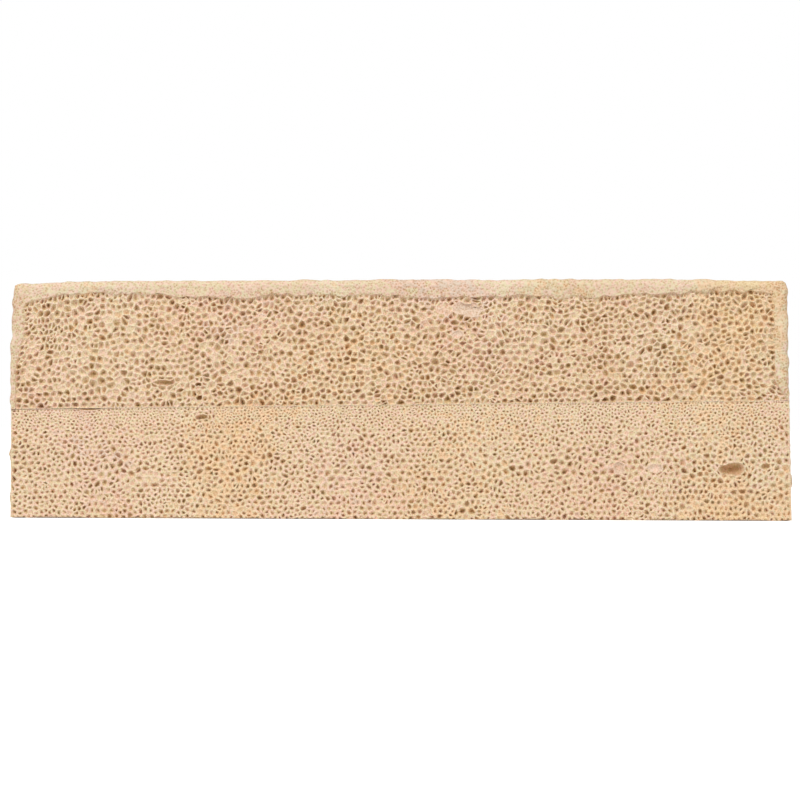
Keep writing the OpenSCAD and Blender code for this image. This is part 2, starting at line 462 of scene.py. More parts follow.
def choose_cell(rng, look, radius):
    """Depth, darkness of the painted shade in the pit, thickness of the walls, size of the window and how far
    it lies off the middle, for a bubble that is closed by a film, one with a narrow mouth, or an open one."""
    chance = rng.random()
    if chance < look["closed"]:
        return radius * rng.uniform(0.3, 0.6), rng.uniform(0.2, 0.45), 1.0, 0.6, 0.2
    dark = 0.3 + 0.65 * rng.random() ** look["paler"]
    if chance < look["closed"] + look["narrow"]:
        return radius * rng.uniform(0.6, 1.1), dark, rng.uniform(1.5, 2.4), 0.6, 0.15
    return radius * rng.uniform(*look["deep"]), dark, rng.uniform(0.8, 1.2), rng.uniform(0.35, 0.7), 0.3


print("tint at the left and the right end:", [round(drift_at(x, -38, 20), 2) for x in (-74, 74)])

# %% [markdown]
# Now each cell becomes a small bowl. From the outside in, it has the nodes of the walls, which it shares
# with its neighbours, the rim of the hole, a ring half way down, and the floor. The rim's points lie
# between the nodes and not at them. That cuts the corners of the polygon, so the holes come out round and
# the walls are thick where three of them meet, which is how rubber foam sets. The ring half way down is the
# window into the bubble behind. It is smaller than the rim and off to one side, so the painted shade, which
# deepens from the rim to the floor, sits in one part of the bowl.

# %% From pattern to pits


def step_inward(start, middle, strut):
    """The point a strut's width from start on the way to the middle, and never much past half way."""
    inward = middle - start
    reach = min(strut / max(np.hypot(*inward), 0.01), 0.6)
    return start + inward * reach


def lay_net(layer, net, place, look, voids, seed):
    """Adds the pits of a net to a layer. place(u, v, deep) gives a point, and its extra painted shade. A
    pit's painted shade grows from the rim over the ring half way down to the floor, which has all of it."""
    own_tint = 0.4
    node_shade = 0.55
    rng = np.random.default_rng(seed)
    nodes, cells, borders = net
    edge_nodes = {index for row in borders.values() for index in row}
    ids = {}
    for index in {k for ring, _ in cells for k in ring}:
        u, v = nodes[index]
        sink = 0.0 if index in edge_nodes else rng.uniform(0.0, look["ragged"])
        spot, shade = place(u, v, sink)
        ids[index] = layer.point(spot, node_shade * shade, drift_at(*spot))

    for ring, owner in cells:
        corners = nodes[ring]
        middle = corners.mean(axis=0)
        radius = np.hypot(*(corners - middle).T).mean()
        deep, dark, thick, window, aside = choose_cell(rng, look, radius)
        spot, _ = place(*middle, 0.0)
        tone = blend(drift_at(*spot), rng.random(), own_tint)
        if owner is None:
            thick *= look["web"](middle[1])
            # Over the bond the pits get more painted shade, and are a little deeper
            if look["dark_rows"][0] < middle[1] < look["dark_rows"][1]:
                dark = min(1.0, 1.15 * dark)
                deep *= 1.1
        else:
            deep, dark = voids[owner][4:]
            thick, window, aside = 0.7, 0.78, 0.0
            tone = 1.0 if dark < 0.3 else 0.5
        angle = rng.uniform(0, 2 * math.pi)
        heart = middle + radius * aside * np.array([math.cos(angle), math.sin(angle)])
        count = len(ring)
        rim = []
        wall = []
        for k in range(count):
            a = corners[k]
            b = corners[(k + 1) % count]
            strut = look["strut"] * thick * rng.uniform(0.7, 1.4)
            part = []
            for share in look["rim"]:
                u, v = step_inward(a + (b - a) * share, middle, strut)
                spot, shade = place(u, v, look["round"] * thick + look["ragged"] / 2)
                part.append(layer.point(spot, max(0.14 + 0.2 * dark, shade), tone))
            rim.append(part)
            if look["walls"]:
                u, v = heart + (step_inward((a + b) / 2, middle, strut) - heart) * window
                spot, shade = place(u, v, look["round"] * thick + deep * rng.uniform(0.45, 0.75))
                wall.append(layer.point(spot, max(0.1 + 0.6 * dark, shade), tone))
        u, v = heart
        spot, shade = place(u, v, look["round"] * thick + deep)
        floor = layer.point(spot, max(dark, shade), tone)

        for k in range(count):
            after = (k + 1) % count
            here = ids[ring[k]]
            there = ids[ring[after]]
            layer.face((here, there, *reversed(rim[k])))
            layer.face((there, rim[after][0], rim[k][-1]))
            below = wall[k] if look["walls"] else floor
            for first, second in zip(rim[k], rim[k][1:]):
                layer.face((first, second, below))
            if look["walls"]:
                layer.face((rim[k][-1], rim[after][0], wall[after], below))
                layer.face((below, wall[after], floor))
            else:
                layer.face((rim[k][-1], rim[after][0], floor))
    return {name: [ids[index] for index in row] for name, row in borders.items()}


def along(layer, row, axis, start):
    """A border row with how far along each vertex lies, from start to start + 1."""
    first = layer.points[row[0]][axis]
    last = layer.points[row[-1]][axis]
    return [(start + (layer.points[index][axis] - first) / (last - first), index) for index in row]


print("a strut on its way inward:", step_inward(np.array([0.0, 0.0]), np.array([0.6, 0.8]), 0.1))


# %% [markdown]
# Flaws tell one sponge from another. The voids are places where many bubbles ran together: a large one low
# on the right, a small one beside it, a slit under the bond, pits over it, and the shallow pocket where a
# wall tore under the lip. They are carved out of the pattern before the walls are drawn, so each becomes one
# wide cell, with painted shade on its floor. Softer flaws are a dent that the net follows, which gets painted
# shade as well, and patches where the films stayed whole.

# %% Voids, pits and whole films
# Each row holds x, z, half length, half height, depth and darkness, the painted shade on the void's floor
COARSE_VOIDS = [
    (12.6, 40.9, 2.8, 1.35, 0.45, 0.2),
    (10.7, 35.9, 1.0, 0.9, 0.3, 0.1),
    (-46.2, 26.4, 1.8, 0.5, 1.0, 0.75),
    (-39.5, 26.1, 0.75, 0.4, 1.3, 1.0),
    (-35.2, 24.3, 0.7, 0.55, 0.9, 0.75),
]
FINE_VOIDS = [
    (64.4, 9.9, 2.4, 1.25, 1.8, 1.0),
    (70.8, 10.6, 0.8, 0.75, 1.0, 0.85),
    (-38.8, 19.7, 1.3, 0.52, 1.3, 0.75),
    (42.3, 10.1, 1.15, 1.1, 0.5, 0.25),
    (49.2, 10.2, 1.5, 0.85, 0.3, 0.0),
]
# Ovals in the face, as (x, z, half length, half height): a dent, and stretches where the films are whole
DENT = (-39.3, 23.4, 0.6, 0.5)
# How deep the dent goes, and as much painted shade in it
dent_depth_and_shade = 0.8
WHOLE_FILMS = [(7.6, 40.4, 1.6, 1.6), (-45.5, 29.8, 1.4, 0.7)]


def net_voids(place, voids):
    """The same voids with their middles in the net's own coordinates, found by closing in on them."""
    found = []
    for x, z, *rest in voids:
        u = x + half_foot
        v = z
        for _ in range(8):
            (at_x, _, at_z), _ = place(u, v, 0.0)
            u += x - at_x
            v += z - at_z
        found.append((u, v, *rest))
    return found


def lay_face(layer, name, place, extent, size_at, look, voids, seeds):
    """Scatters, carves and lays the cells of a face. Returns the rows of vertices along its borders."""
    voids = net_voids(place, voids)
    sites = scatter(*extent, size_at, look["missing"], look["doubled"], seeds[0])
    sites, owners = carve(sites, voids, seeds[1])
    net = voronoi(sites, owners, *extent, look["gap"])
    rows = lay_net(layer, net, place, look, voids, seeds[2])
    print(name + ":", len(net[1]), "cells,", layer.triangles(), "triangles in the layer so far")
    return rows


def inside(x, z, oval, full, none):
    """1 at the middle of an oval and 0 outside it. It falls between two distances, as shares of the oval."""
    x0, z0, half_length, half_height = oval
    return 1 - ease(full, none, math.hypot((x - x0) / half_length, (z - z0) / half_height))


print("voids:", len(COARSE_VOIDS), "in the coarse layer,", len(FINE_VOIDS), "in the fine one")


# %% [markdown]
# The coarse layer's cut face is a rectangle of cells that is laid into a frame of skin. The frame isn't
# square: the skin reaches down further at some places along the top, stays as a band on the right, and is
# worn to a thin edge low on the left. The net is drawn in a plain rectangle, and a function carries each
# point to the block, so the cells follow the frame without being cut by it.

# %% The frame of skin
# The drop of the skin's edge below the top, as (share of the length, millimetres)
SKIN_EDGE = [
    (0.0, 5.2), (0.03, 3.3), (0.06, 2.6), (0.12, 2.3), (0.19, 2.5), (0.23, 3.2), (0.29, 3.4), (0.33, 2.7),
    (0.45, 2.7), (0.53, 3.3), (0.60, 3.2), (0.74, 3.3), (0.80, 2.9), (0.88, 2.2), (0.96, 2.1), (1.0, 3.6),
]
skin_right = 2.6
skin_left = 2.3
skin_worn = 0.9
worn_from = 0.38
worn_to = 0.75
usual_drop = 2.6
# Low on the right the band of skin has been cut away: it comes in between these shares of the height
right_from = 0.0
right_to = 0.2


def skin_drop(x):
    ragged = 0.5 * wander(x, 0, 0, 1.5, 14) + 0.55 * wander(x, 0, 0, 3.6, 15)
    return read_off(SKIN_EDGE, (x + half_foot) / (2 * half_foot)) + ragged


net_width = 2 * half_foot - skin_right - skin_worn
net_height = top_at(0) - bond_at(0) - usual_drop


def frame_point(u, v):
    """Where a point of the coarse net's rectangle lies on the block, as x and z."""
    share_u = u / net_width
    share_v = v / net_height
    height = blend(bond_left, top_right, share_v)
    ragged = 0.5 * wander(0, height, 0, 2.2, 16)
    x = blend(end_at(-1, height) + skin_worn, end_at(1, height) - skin_right, share_u)
    x += (skin_left - skin_worn + ragged) * ease(worn_from, worn_to, share_v) * (1 - ease(0.0, 0.08, share_u))
    cut_away = blend(skin_right - 0.5 * skin_worn, ragged, ease(right_from, right_to, share_v))
    x += cut_away * ease(0.92, 1.0, share_u)
    return x, blend(bond_at(x), top_at(x) - skin_drop(x), share_v)


print(f"coarse net {net_width:.1f} x {net_height:.1f} mm in its frame")

# %% [markdown]
# The skin ends in a torn lip. In places it stands a little proud of the cells, with a crease under it here
# and there that is set back and darkened with painted shade, and in others it runs out flush. Together with
# the slow stray of the knife, this relief keeps the face from looking like a printed sheet. It is a function
# too, which the net asks for each point, along with the painted shade under the lip and in the dent.

# %% The relief of the coarse face
# Where the lip stands proud of the cells, as (from x, to x); elsewhere it runs out flush
PROUD_LIP = [(-43.0, -21.6), (1.7, 27.8), (46.3, 80.0)]
# The cells under the lip lie back by lip_dip, and by under_lip more where a crease shows; half of that
# setback is painted on them as shade. The lip stands lip_height proud; where it doesn't, the face comes
# forward to it from flush_from millimetres away, but never further than most_forward past the knife's plane.
lip_dip = 0.05
under_lip = 0.15
lip_height = 0.2
flush_from = 3.0
most_forward = 0.25


def knife_swell(x, side, z):
    """How far the knife strayed from the true plane. Both layers ask, so that no step shows at the bond."""
    slow = 0.2 * wander(x, 20 * side, z, 16.0, 2)
    quick = 0.13 * wander(x, 20 * side, z, 4.5, 1)
    return 0.16 + (slow + quick) * ease(0.0, 2.0, half_foot - abs(x))


def proud_at(x):
    """1 where the lip stands proud, 0 where it is flush."""
    return max(ease(start - 2, start + 2, x) * (1 - ease(end - 2, end + 2, x)) for start, end in PROUD_LIP)


def crease_at(x, z):
    """Where the crease under the lip gets painted shade, 1, and where the rubber has closed it, 0."""
    return ease(0.0, 0.5, wander(x, 0, z, 2.6, 17))


def near_lip(u, v, reach=1.3):
    """1 right under the skin's lip, falling to 0 a cell or more further in."""
    away = min(net_height - v, net_width - u, u if v > worn_from * net_height else net_height)
    return 1 - ease(0.0, reach, away)


def flush_at(x):
    """How far the cut face comes forward to meet the lip where the lip doesn't stand proud."""
    return lip_height * (1 - proud_at(x))


def coarse_long(side):
    """The front (side -1) or the back (side 1) of the coarse layer. Only the front has creases and flaws."""

    def place(u, v, deep):
        x, z = frame_point(u, v)
        dip = lip_dip
        dent = 0.0
        if side < 0:
            dip += under_lip * proud_at(x) * crease_at(x, z)
            dent = dent_depth_and_shade * inside(x, z, DENT, 0.75, 1.1)
            film = max(inside(x, z, oval, 0.8, 1.15) for oval in WHOLE_FILMS)
            deep *= blend(1.0, 0.25, max(film, 0.75 * dent))
        recess = near_lip(u, v) * dip
        inward = deep + dent + recess + knife_swell(x, side, z)
        inward -= flush_at(x) * near_lip(u, v, flush_from)
        # The second value is painted shade: in the dent, and under the lip by half of its setback
        return (x, side * (cut_y - max(inward, -most_forward)), z), max(dent, 0.5 * recess)

    return place


coarse_front = coarse_long(-1)
coarse_back = coarse_long(1)
front_middle, _ = coarse_front(net_width / 2, net_height / 2, 0)
print("middle of the front face:", [round(float(value), 2) for value in front_middle])

# %% [markdown]
# The cells are largest at the middle of the layer. Over the bond they were squeezed flat, and under the skin
# they are small, because foam sets sooner where it touches something. The back is hidden in the photograph,
# so it gets plainer pits with fewer triangles.

# %% The coarse cells


def cell_size(sizes, first, second):
    """Width and height of a cell, blended from three sizes: from one to two by a share, then to three."""
    return tuple(blend(blend(a, b, first), c, second) for a, b, c in zip(*sizes))


def coarse_size(v):
    """Open cells, which are flatter on the bond and smaller under the skin."""
    squashed = 1 - ease(0.4, 1.2, v)
    small = ease(net_height - 1.6, net_height - 0.4, v)
    return cell_size(((1.2, 1.24), (1.24, 0.95), (0.95, 0.85)), squashed, small)


def coarse_web(v):
    """How thick the walls are, per the usual: stout next to the bond and next to the skin."""
    return 1 + 0.4 * (1 - ease(0.4, 2.0, v)) + 0.3 * ease(net_height - 2.0, net_height - 0.8, v)


coarse_look = {
    "strut": 0.09, "ragged": 0.16, "round": 0.07, "closed": 0.14, "narrow": 0.22, "deep": (0.8, 1.7),
    "paler": 1.9, "rim": (0.25, 0.75), "walls": True, "dark_rows": (0.5, 3.4), "web": coarse_web,
    "missing": 0.15, "doubled": 0.22, "gap": 0.12,
}
plain_look = {
    **coarse_look, "rim": (0.5,), "walls": False, "deep": (0.8, 1.4),
    "missing": 0.12, "doubled": 0.08, "gap": 0.15,
}

coarse = Layer()
extent = (net_width, net_height)
front_rows = lay_face(
    coarse, "coarse front", coarse_front, extent, coarse_size, coarse_look, COARSE_VOIDS, (11, 13, 12)
)
back_rows = lay_face(
    coarse, "coarse back", coarse_back, extent, coarse_size, plain_look, [], (21, 23, 22)
)

# %% [markdown]
# The skin is one sheet that runs round the block: from the lip at the front over the rolled edge, along the
# top and the ends, and over to the lip at the back. It could be a bevelled box, but its lip follows the
# wavy frame of the cut face. So it is swept: a path runs up the left end, along the top and down the right
# end, and at each step a row of points crosses from the front lip to the back lip.

# %% The skin's path
roll = 1.2
corner_roll = 0.6
corner_radius = 0.95


def outline(way):
    """A point of the block's outline, as x, z and the way in. way runs from 0 to 3: left, top, right."""
    side = -1 if way < 1.5 else 1
    far = min(way, 3 - way)
    arc = corner_radius * math.pi / 4
    end_x = end_at(side, top_right)
    corner_z = top_at(end_x) - corner_radius
    upright = corner_z - bond_at(end_x)
    if far < 1:
        run = far * (upright + arc)
        if run < upright:
            z = corner_z - upright + run
            return end_at(side, z), z, -side, 0.0
        angle = (run - upright) / corner_radius
    else:
        flat = abs(end_x) - corner_radius
        run = (far - 1) * 2 * (flat + arc)
        if run >= arc:
            x = side * (flat - (run - arc))
            return x, top_at(x), 0.0, -1.0
        angle = math.pi / 4 + run / corner_radius
    x = end_x - side * corner_radius * (1 - math.cos(angle))
    z = corner_z + corner_radius * math.sin(angle)
    return x, z, -side * math.cos(angle), -math.sin(angle)


def frame_edge(way):
    """The edge of the cut face at the same step of the path."""
    if way < 1:
        return frame_point(0.0, way * net_height)
    if way < 2:
        return frame_point((way - 1) * net_width, net_height)
    return frame_point(net_width, (3 - way) * net_height)


def roll_at(way):
    """Radius of the rolled edge: small low at both ends, where the band is thin, and small at the corners."""
    x, z, _, _ = outline(way)
    wide = min(ease(worn_from, worn_to, way), ease(right_from, right_to, 3 - way))
    from_corner = ease(0.0, 4.5, math.hypot(half_foot - abs(x), top_right - z))
    return blend(corner_roll, blend(0.3 * roll, roll, wide), from_corner)


print("path from the left foot over the corner:", [
    tuple(round(float(value), 1) for value in outline(way)[:2]) for way in (0, 0.5, 1, 1.5)
])

# %% [markdown]
# Across the path, a row starts at the torn lip, widens to the full depth of the block, bends over the rolled
# edge and crosses the flat part in the middle. The moulded surface is beaded: small swells stand on larger
# ones, and the narrowest are drawn out across the block. Displacing the points keeps the outline uneven too.

# %% Across the skin
beads_on_top = 0.16
beads_on_ends = 0.3
# How far the skin sinks in along the middle of the block
sunk = 0.3
# The lip stays at least this far behind the widest place of the skin
lip_back = 0.05


def skin_rows():
    """The rows across the skin, front to back: (share from the lip to the roll, inset, set back, y)."""
    rows = [(share, 1.0, 0.0) for share in (0.0, 0.06, 0.3, 0.65)]
    bends = 5
    for k in range(bends + 1):
        angle = math.pi / 2 * k / bends
        rows.append((1.0, 1 - math.sin(angle), 1 - math.cos(angle)))
    front = [(share, inset, set_back, -half_depth) for share, inset, set_back in rows]
    back = [(share, inset, -set_back, half_depth) for share, inset, set_back in reversed(rows)]
    close = [0.8, 0.88, 0.93, 0.965, 0.985]
    steps = [-step for step in reversed(close)] + list(np.linspace(-0.7, 0.7, 15)) + close
    return front + [(1.0, 0.0, 0.0, (half_depth - roll) * step) for step in steps] + back


def skin_point(way, share, inset, set_back, y):
    x, z, in_x, in_z = outline(way)
    bend = roll_at(way)
    x += in_x * bend * inset
    z += in_z * bend * inset
    y += bend * set_back
    if share < 1:
        side = -1 if y < 0 else 1
        edge_x, edge_z = frame_edge(way)
        lip_y = min(cut_y - knife_swell(edge_x, side, edge_z) + lip_height, half_depth - lip_back)
        y = side * blend(lip_y, half_depth, share)
        x = blend(edge_x, x, share)
        z = blend(edge_z, z, share)
    swell = 0.17 * wander(x, y, z, 1.9, 6) + 0.14 * wander(x, y, z, 4.5, 7) + 0.15 * wander(x, y, z, 14.0, 8)
    beads = blend(beads_on_top, beads_on_ends, abs(in_x))
    beaded = beads * wander(x, y / 6, z, 1.4, 9) - sunk * ease(1.0, 9.0, half_depth - abs(y))
    push = (swell + beaded - 0.04) * share
    facing_y = -inset if y < 0 else inset
    facing = math.hypot(1 - inset, inset)
    x -= in_x * (1 - inset) / facing * push
    z -= in_z * (1 - inset) / facing * push
    y += facing_y / facing * push
    return x, y, z


print("rows across the skin:", len(skin_rows()))


# %% [markdown]
# The path has a step every 0.7 mm or so, and 45 rows lie across it. The first row is zipped to the border of
# the front net and the last to the border of the back net. The underside, which is bonded to the fine layer,
# is one flat cap over the loop that is left. The skin is darker in patches and at the ends, and near the lip
# it gets painted shade where the crease under it is dark.

# %% Sweeping the skin
end_steps = 34
top_steps = 220
patch_shade = 0.22
end_shade = 0.12
# Painted shade on the skin's rows next to the lip, where the crease is
crease_shade = 0.5
path = np.concatenate([
    np.linspace(0, 1, end_steps, endpoint=False),
    np.linspace(1, 2, top_steps, endpoint=False),
    np.linspace(2, 3, end_steps + 1),
])
sheet = []
for share, inset, set_back, y in skin_rows():
    row = []
    for way in path:
        spot = skin_point(way, share, inset, set_back, y)
        patch = patch_shade * ease(-0.1, 0.5, wander(*spot, 9.0, 18))
        at_end = end_shade * ease(half_foot - 4.5, half_foot - 2.5, abs(spot[0]))
        shade = crease_shade * (1 - share) ** 2 * crease_at(spot[0], spot[2]) + patch + at_end
        row.append((float(way), coarse.point(spot, shade, drift_at(*spot))))
    sheet.append(row)
for row, other in zip(sheet, sheet[1:]):
    for (_, a), (_, b), (_, c), (_, d) in zip(row, row[1:], other[1:], other):
        coarse.face((a, b, c, d), 1)


def border_path(layer, rows):
    """The left, top and right borders of a net as one row along the path."""
    left = along(layer, rows["left"], 2, 0)
    top = along(layer, rows["top"], 0, 1)
    right = along(layer, rows["right"], 2, 2)
    right = [(2 + (3 - way), index) for way, index in reversed(right)]
    return left + top[1:] + right[1:]


coarse.zip_up(border_path(coarse, front_rows), sheet[0], 2)
coarse.zip_up(border_path(coarse, back_rows), sheet[-1], 2)
loop = list(front_rows["bottom"])
loop += [row[-1][1] for row in sheet]
loop += list(reversed(back_rows["bottom"]))
loop += [row[0][1] for row in reversed(sheet)]
coarse.cap(loop)
print("coarse layer:", len(coarse.points), "points,", coarse.triangles(), "triangles")

# %% [markdown]
# The fine layer was cut on every side, so it is a ring of four nets. Where two faces meet, the knife leaves
# a sharp corner that rubs off at once, so the nets stop a quarter of a millimetre short of the corner and
# are zipped together across it. The left end of the bond has opened: there the top of this layer drops away
# from the coarse one for a little way inward, and the slit fills with shadow, deepened by painted shade on
# the strips that lead into it.

# %% The faces of the fine layer
worn = 0.16
# How far below the foot the nets reach: the knife cut the lowest cells through
cut_cells = 0.4
corner = 0.24
bond_groove = 0.005
# The opened bond, as (distance from the left end, height of the opening)
OPEN_BOND = [(0.0, 0.1), (9.0, 0.11), (13.0, 0.16), (14.4, 0.5), (16.4, 0.46), (17.6, 0.05), (24.0, 0.0)]
gap_depth = 0.7
# A scrap of rubber that stands out of the right end
nub = 0.6
nub_height = 11.7


def face_top(x, front):
    opening = read_off(OPEN_BOND, x + half_foot) if front else 0.0
    return bond_at(x) - max(bond_groove, opening)


def foot_at(x, y):
    """Height of the worn edge at the foot: here and there a bit more has rubbed off."""
    return worn * max(0.2, 1 + 2.4 * wander(x, y, 0, 2.4, 51))


def fine_long(side):
    """The front (side -1) or the back (side 1) of the fine layer."""

    def place(u, v, deep):
        share_v = v / fine_height
        height = share_v * bond_left
        share_u = u / fine_length
        if side > 0:
            share_u = 1 - share_u
        x = blend(end_at(-1, height) + corner, end_at(1, height) - corner, share_u)
        z = max(blend(-cut_cells, face_top(x, side < 0), share_v), foot_at(x, side * cut_y))
        inward = deep + knife_swell(x, side, z)
        return (x, side * (cut_y - max(inward, 0.0)), z), 0.0

    return place


def fine_end(side):
    """The right end (side 1) or the left end (side -1)."""

    def place(u, v, deep):
        share_v = v / fine_height
        y = side * (u / fine_depth * 2 - 1) * (cut_y - corner)
        x = end_at(side, share_v * bond_left)
        z = max(blend(-cut_cells, face_top(x, False), share_v), foot_at(x, y))
        swell = 0.3 * wander(40 * side, y, z, 2.5, 33)
        hollow = ease(2.0, 12.0, half_depth - abs(y))
        ridges = 0.5 * wander(40 * side, y / 8, z, 3.2, 34) + 0.4 * wander(40 * side, y / 12, z, 1.4, 35)
        swell += blend(ridges, 0.3, hollow)
        if side > 0:
            swell -= nub * math.exp(-((z - nub_height) / 0.9) ** 2 - ((y + cut_y - 5) / 4) ** 2)
        swell *= ease(0.0, 1.5, cut_y - abs(y))
        return (x - side * (deep + 0.12 + swell), y, z), 0.0

    return place


fine_height = bond_at(0) + cut_cells
fine_length = 2 * (half_foot - corner)
fine_depth = 2 * (cut_y - corner)


print(f"fine nets {fine_length:.1f} and {fine_depth:.1f} mm long, {fine_height:.1f} mm high")

# %% [markdown]
# The fine layer's cells are about as wide as they are high at its middle, and get small and flat towards the
# bond. The ends and the back are hidden in the photograph, so their cells are larger and plainer.

# %% The fine cells


def fine_size(v):
    """Larger cells at the middle of the layer, small and flat ones under the bond."""
    under_bond = ease(fine_height - 8.5, fine_height - 0.3, v)
    middle = ease(6.5, 8.5, v) * (1 - ease(11.0, 13.0, v))
    return cell_size(((1.06, 1.08), (1.2, 1.24), (0.74, 0.58)), middle, under_bond)


def wider_size(v):
    wide, high = fine_size(v)
    return 1.3 * wide, 1.3 * high


def fine_web(v):
    """The walls of the fine layer are stout, and stoutest under the bond."""
    return 1.2 + 0.2 * ease(fine_height - 4.5, fine_height - 0.3, v)


fine_look = {
    "strut": 0.1, "ragged": 0.14, "round": 0.06, "closed": 0.14, "narrow": 0.35, "deep": (0.8, 1.7),
    "paler": 1.9, "rim": (0.5,), "walls": True, "dark_rows": (0.0, 0.0), "web": fine_web,
    "missing": 0.13, "doubled": 0.16, "gap": 0.12,
}
far_look = {**fine_look, "walls": False, "deep": (0.8, 1.4)}

fine = Layer()
# Going round the block anticlockwise, seen from above
SIDES = [
    ("fine front", fine_long(-1), fine_length, fine_size, fine_look, FINE_VOIDS, 41),
    ("fine right end", fine_end(1), fine_depth, wider_size, far_look, [], 43),
    ("fine back", fine_long(1), fine_length, wider_size, far_look, [], 45),
    ("fine left end", fine_end(-1), fine_depth, wider_size, far_look, [], 47),
]
ring = []
for name, place, width, size_at, look, voids, seed in SIDES:
    seeds = (seed, seed + 1, seed + 1)
    ring.append(lay_face(fine, name, place, (width, fine_height), size_at, look, voids, seeds))

# %% [markdown]
# The corners are zipped first, each between the right border of one net and the left border of the next.
# That leaves two loops of vertices, one under the bond and one at the foot. A loop is carried on by rows
# that step inward, and the last row of each is closed by a flat cap.

# %% Closing the fine layer
for rows, after in zip(ring, ring[1:] + ring[:1]):
    fine.zip_up(along(fine, rows["right"], 2, 0), along(fine, after["left"], 2, 0))


def loop_of(border):
    """One loop round the layer from the same border of each net, starting at the front left."""
    loop = []
    for rows in ring:
        loop += rows[border]
    return loop


def step_in(layer, loop, by, height_at):
    """A new loop beside an old one, some millimetres further in, and the strip between them. The new loop
    carries a pit value of 0.7, painted shade that darkens the strips into the slit and at the foot.
    """
    fresh = []
    for index in loop:
        x, y, z = layer.points[index]
        x *= 1 - by / half_foot
        y *= 1 - by / cut_y
        fresh.append(layer.point((x, y, height_at(x, z)), 0.7, 0.5))
    for k in range(len(loop)):
        after = (k + 1) % len(loop)
        layer.face((loop[k], loop[after], fresh[after], fresh[k]))
    return fresh


# The steps under the bond, as (millimetres further in, height there): into the slit, its end, and the bond
TOP_STEPS = [
    (0.2, lambda x, z: blend(z, bond_at(x), 0.35)),
    (gap_depth, lambda x, z: blend(z, bond_at(x), 0.8)),
    (gap_depth + 0.4, lambda x, z: bond_at(x) - 0.01),
]
top_loop = loop_of("top")
for by, height_at in TOP_STEPS:
    top_loop = step_in(fine, top_loop, by, height_at)
fine.cap(top_loop)
fine.cap(step_in(fine, loop_of("bottom"), 5 * worn, lambda x, z: 0.0))
print("fine layer:", len(fine.points), "points,", fine.triangles(), "triangles")

# %% [markdown]
# A material is a graph of nodes. Most steps of it are alike: make a node, fill its inputs, take its output.
# A few helpers keep the recipes below as short as their description in words.

# %% Helpers for nodes
def srgb(red, green, blue):
    """A colour as a picture gives it, in the linear values that shaders take."""
    parts = [value / 255 for value in (red, green, blue)]
    linear = [part / 12.92 if part <= 0.04045 else ((part + 0.055) / 1.055) ** 2.4 for part in parts]
    return (*linear, 1.0)


def feed(tree, node, inputs):
    """Fills the inputs of a node, given as (name or number, socket or plain value)."""
    for key, value in inputs:
        if isinstance(value, bpy.types.NodeSocket):
            tree.links.new(value, node.inputs[key])
        else:
            node.inputs[key].default_value = value


def calculate(tree, operation, *values):
    node = tree.nodes.new("ShaderNodeMath")
    node.operation = operation
    feed(tree, node, enumerate(values))
    return node.outputs[0]


def noise_at(tree, where, scale, detail):
    node = tree.nodes.new("ShaderNodeTexNoise")
    feed(tree, node, (("Vector", where), ("Scale", scale), ("Detail", detail)))
    return node.outputs["Fac"]


def ramp(tree, source, stops):
    """The colours of a row of stops, picked by a value."""
    node = tree.nodes.new("ShaderNodeValToRGB")
    feed(tree, node, [("Fac", source)])
    elements = node.color_ramp.elements
    while len(elements) < len(stops):
        elements.new(0.5)
    for element, (position, colour) in zip(elements, stops):
        element.position = position
        element.color = colour
    return node.outputs["Color"]


def carried(tree, name):
    """A value that the mesh carries at each vertex."""
    node = tree.nodes.new("ShaderNodeAttribute")
    node.attribute_type = "GEOMETRY"
    node.attribute_name = name
    return node.outputs["Fac"]


def stretch(tree, source, *limits):
    """Maps a value from one range, given as low and high, to another."""
    node = tree.nodes.new("ShaderNodeMapRange")
    feed(tree, node, zip(("Value", "From Min", "From Max", "To Min", "To Max"), (source, *limits)))
    return node.outputs["Result"]


print("pale rubber in linear values:", [round(value, 3) for value in srgb(246, 226, 202)])

# %% [markdown]
# Rubber foam has no gloss and no single colour. The cut walls are pale, and the pits get painted shade: a
# warm brown that deepens inward, for the shadow in a hole and for light that has bounced off tan rubber many
# times before it gets out. The tint changes from cell to cell and within a cell, from yellowish over orange,
# olive and pink to greyish. Finer than the cells there are pores in the walls themselves, whose specks are
# painted shade. Foam and skin are the same rubber, so the pores, the slow clouds and the tint are one shader
# group, placed in both materials.

# %% The shared rubber
# The rubber's tints, from yellowish over orange, olive and pink to greyish: blown rubber ages unevenly
TINTS = [
    (0.0, srgb(250, 249, 229)), (0.2, srgb(255, 243, 232)), (0.38, srgb(243, 253, 240)),
    (0.52, srgb(255, 242, 250)), (0.66, srgb(243, 253, 237)), (0.82, srgb(255, 241, 247)),
    (1.0, srgb(242, 242, 248)),
]


